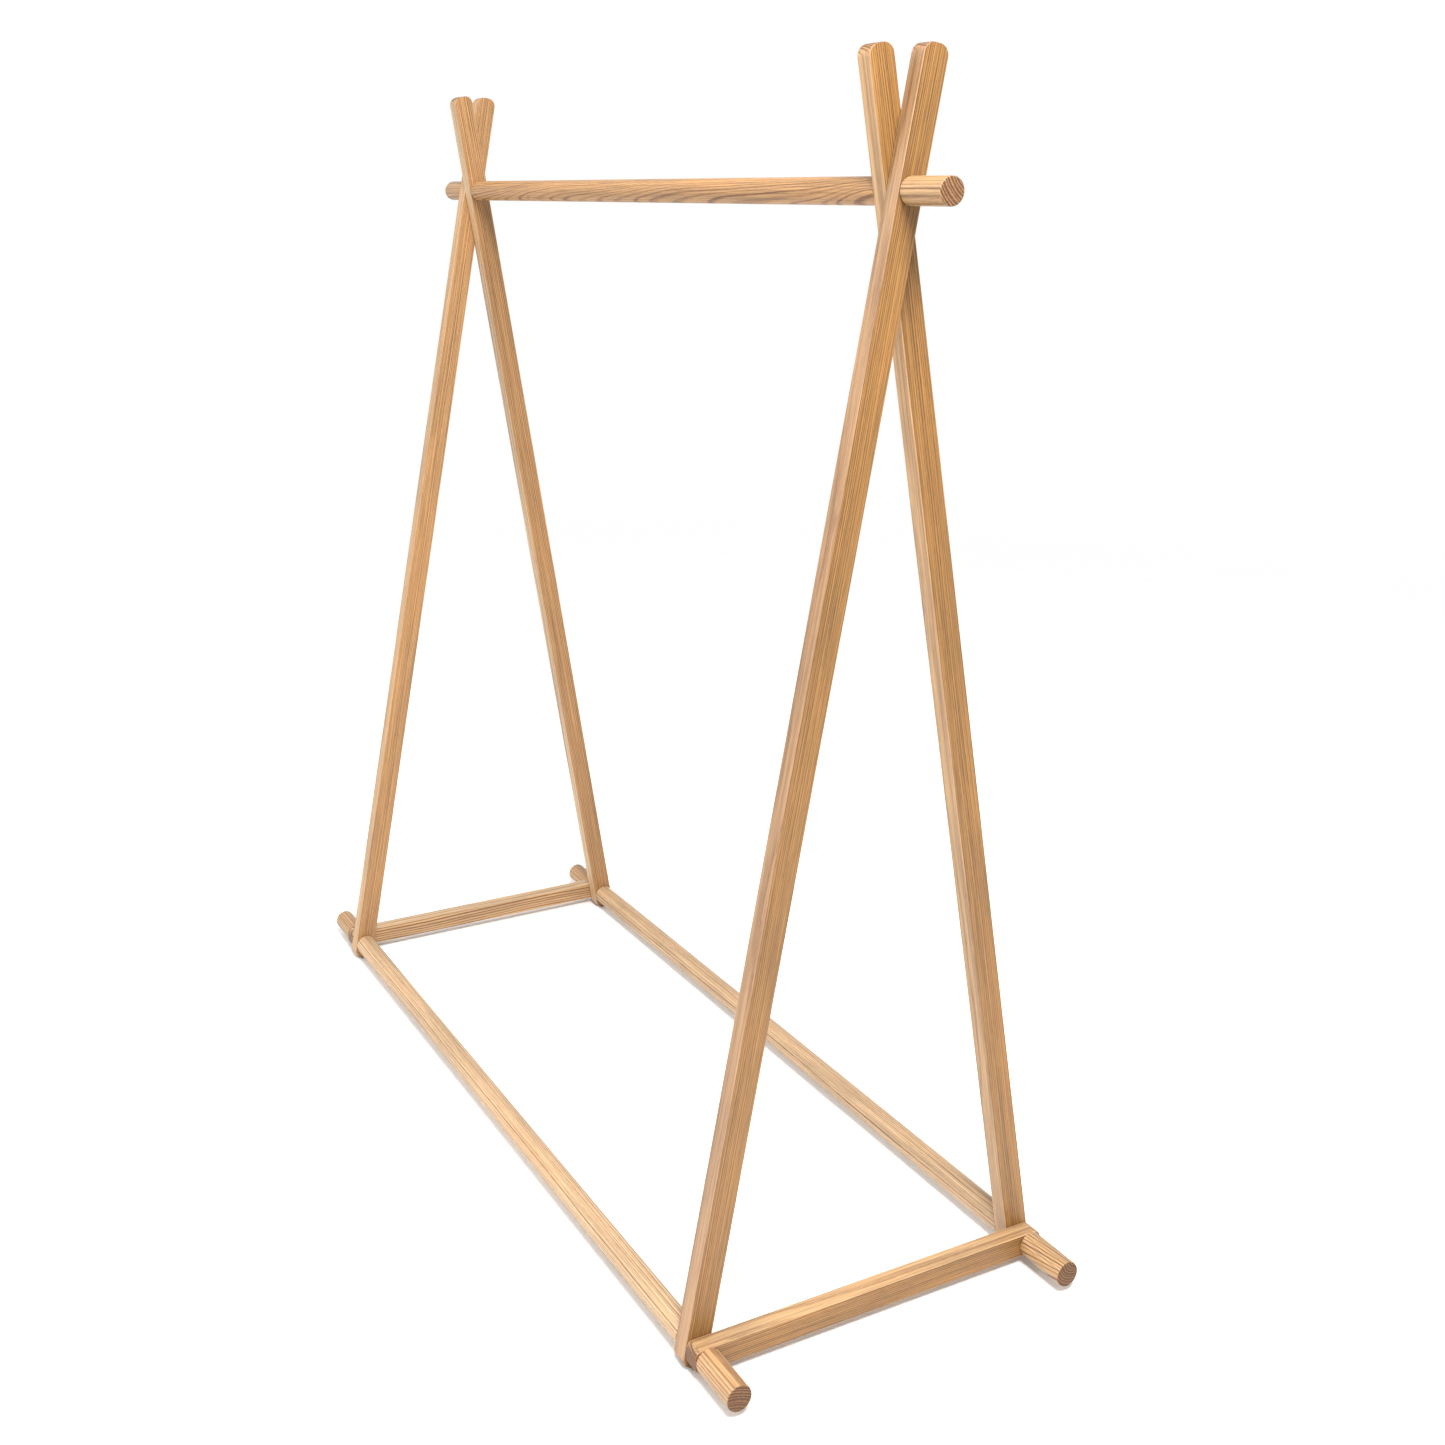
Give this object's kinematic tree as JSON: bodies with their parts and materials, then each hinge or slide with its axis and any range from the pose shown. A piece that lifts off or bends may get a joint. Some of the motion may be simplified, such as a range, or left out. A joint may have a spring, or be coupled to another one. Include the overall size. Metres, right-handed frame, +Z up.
{
  "type": "clothes rack",
  "caption": "Freestanding wooden clothes rack: crossed-leg end frames joined by round floor rails and a round hanging rail, clamped by round end knobs.",
  "frame": {"origin": "on the floor under the centre of the rack, midway between the end frames and midway between the floor rails", "axes": "+X along the rails to the near end frame, +Y from the front floor rail to the back floor rail, +Z up"},
  "size_m": [1.504, 0.554, 1.6299],
  "materials": {
    "ash_legs": "satin hard-wax oil",
    "ash_crossbars": "satin hard-wax oil",
    "ash_rails": "satin hard-wax oil",
    "ash_knobs": "satin hard-wax oil",
    "brass_inserts": "machined",
    "zinc_studs": "zinc plated"
  },
  "bodies": {
    "frame": {"near_front_leg": "ash_legs", "near_back_leg": "ash_legs", "far_front_leg": "ash_legs", "far_back_leg": "ash_legs", "near_crossbar": "ash_crossbars", "far_crossbar": "ash_crossbars"},
    "top_rail": {"top_rail": "ash_rails", "top_rail_studs": "zinc_studs", "top_rail_inserts": "brass_inserts"},
    "front_rail": {"front_rail": "ash_rails", "front_rail_studs": "zinc_studs", "front_rail_inserts": "brass_inserts"},
    "back_rail": {"back_rail": "ash_rails", "back_rail_studs": "zinc_studs", "back_rail_inserts": "brass_inserts"},
    "near_top_knob": {"near_top_knob": "ash_knobs", "near_top_knob_insert": "brass_inserts"},
    "near_front_knob": {"near_front_knob": "ash_knobs", "near_front_knob_insert": "brass_inserts"},
    "near_back_knob": {"near_back_knob": "ash_knobs", "near_back_knob_insert": "brass_inserts"},
    "far_top_knob": {"far_top_knob": "ash_knobs", "far_top_knob_insert": "brass_inserts"},
    "far_front_knob": {"far_front_knob": "ash_knobs", "far_front_knob_insert": "brass_inserts"},
    "far_back_knob": {"far_back_knob": "ash_knobs", "far_back_knob_insert": "brass_inserts"}
  },
  "joints": [
    {"name": "top_rail_turn", "type": "hinge", "parent": "frame", "child": "top_rail", "pos_m": [0, 0, 1.4595], "axis": [1, 0, 0], "continuous": true},
    {"name": "front_rail_turn", "type": "hinge", "parent": "frame", "child": "front_rail", "pos_m": [0, -0.257, 0.0275], "axis": [1, 0, 0], "continuous": true},
    {"name": "back_rail_turn", "type": "hinge", "parent": "frame", "child": "back_rail", "pos_m": [0, 0.257, 0.0275], "axis": [1, 0, 0], "continuous": true},
    {"name": "near_top_knob_turn", "type": "hinge", "parent": "top_rail", "child": "near_top_knob", "pos_m": [0.67695, 0, 1.4595], "axis": [1, 0, 0], "continuous": true},
    {"name": "near_front_knob_turn", "type": "hinge", "parent": "front_rail", "child": "near_front_knob", "pos_m": [0.6767, -0.257, 0.0275], "axis": [1, 0, 0], "continuous": true},
    {"name": "near_back_knob_turn", "type": "hinge", "parent": "back_rail", "child": "near_back_knob", "pos_m": [0.6767, 0.257, 0.0275], "axis": [1, 0, 0], "continuous": true},
    {"name": "far_top_knob_turn", "type": "hinge", "parent": "top_rail", "child": "far_top_knob", "pos_m": [-0.67695, 0, 1.4595], "axis": [-1, 0, 0], "continuous": true},
    {"name": "far_front_knob_turn", "type": "hinge", "parent": "front_rail", "child": "far_front_knob", "pos_m": [-0.6767, -0.257, 0.0275], "axis": [-1, 0, 0], "continuous": true},
    {"name": "far_back_knob_turn", "type": "hinge", "parent": "back_rail", "child": "far_back_knob", "pos_m": [-0.6767, 0.257, 0.0275], "axis": [-1, 0, 0], "continuous": true}
  ]
}
